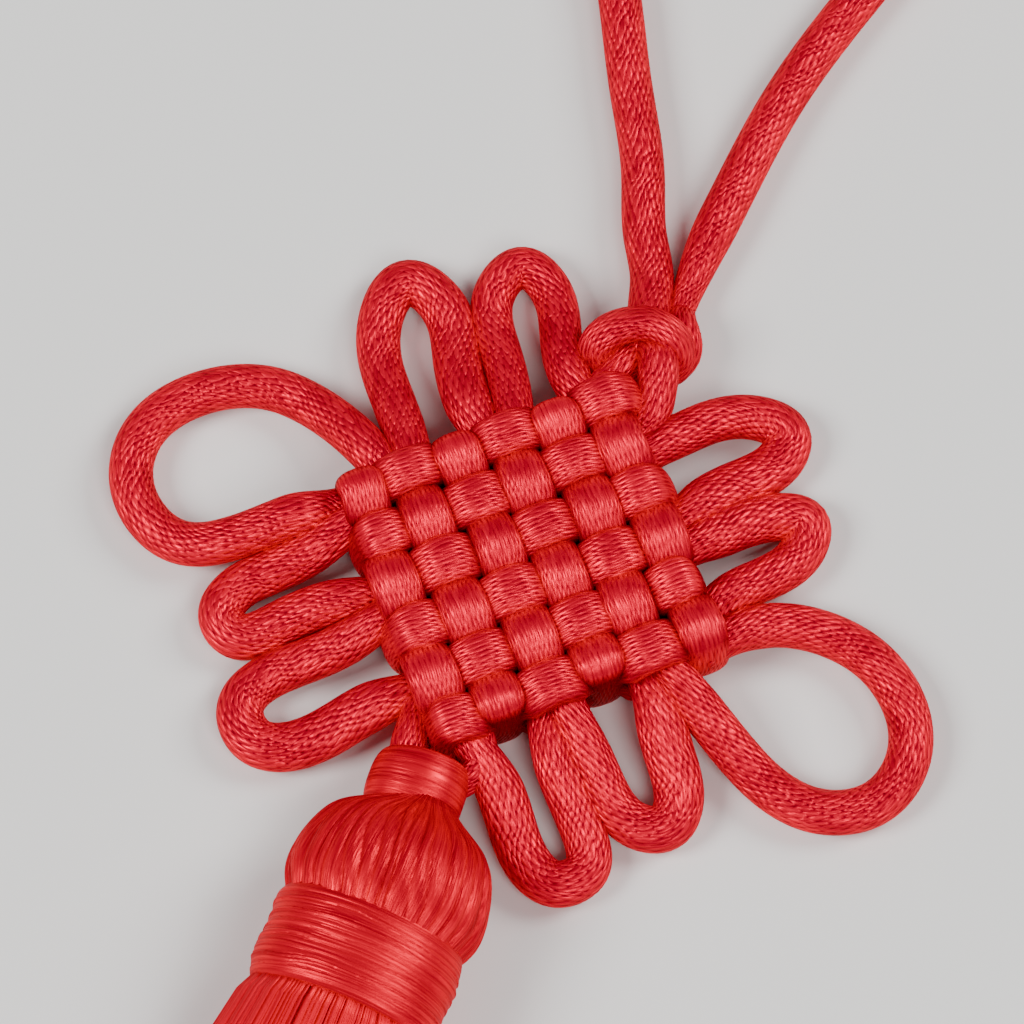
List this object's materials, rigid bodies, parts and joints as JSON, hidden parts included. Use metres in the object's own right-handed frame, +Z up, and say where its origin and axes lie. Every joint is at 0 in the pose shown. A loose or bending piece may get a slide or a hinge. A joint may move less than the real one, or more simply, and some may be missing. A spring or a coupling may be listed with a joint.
{
  "type": "chinese knot tassel",
  "caption": "Red satin cord tied into a square woven knot with ears round its rim, a hanging loop above and a bound silky tassel below, lying flat.",
  "frame": {"origin": "on the surface the part lies on, under the middle of the knot and tassel's bounding box, the free hanging loop left out", "axes": "+Y from the tassel towards the hanging loop, +Z up, out of the knot's front face, +X to the right seen from above"},
  "size_m": [0.0518, 0.2087, 0.0091],
  "materials": {
    "satin_cord": "satin braid",
    "tassel_thread": "silky thread",
    "binding_thread": "silky thread"
  },
  "bodies": {
    "root": {"knot_cord": "satin_cord", "hanging_loop": "satin_cord", "tassel": "tassel_thread", "binding_band": "binding_thread"}
  },
  "joints": []
}
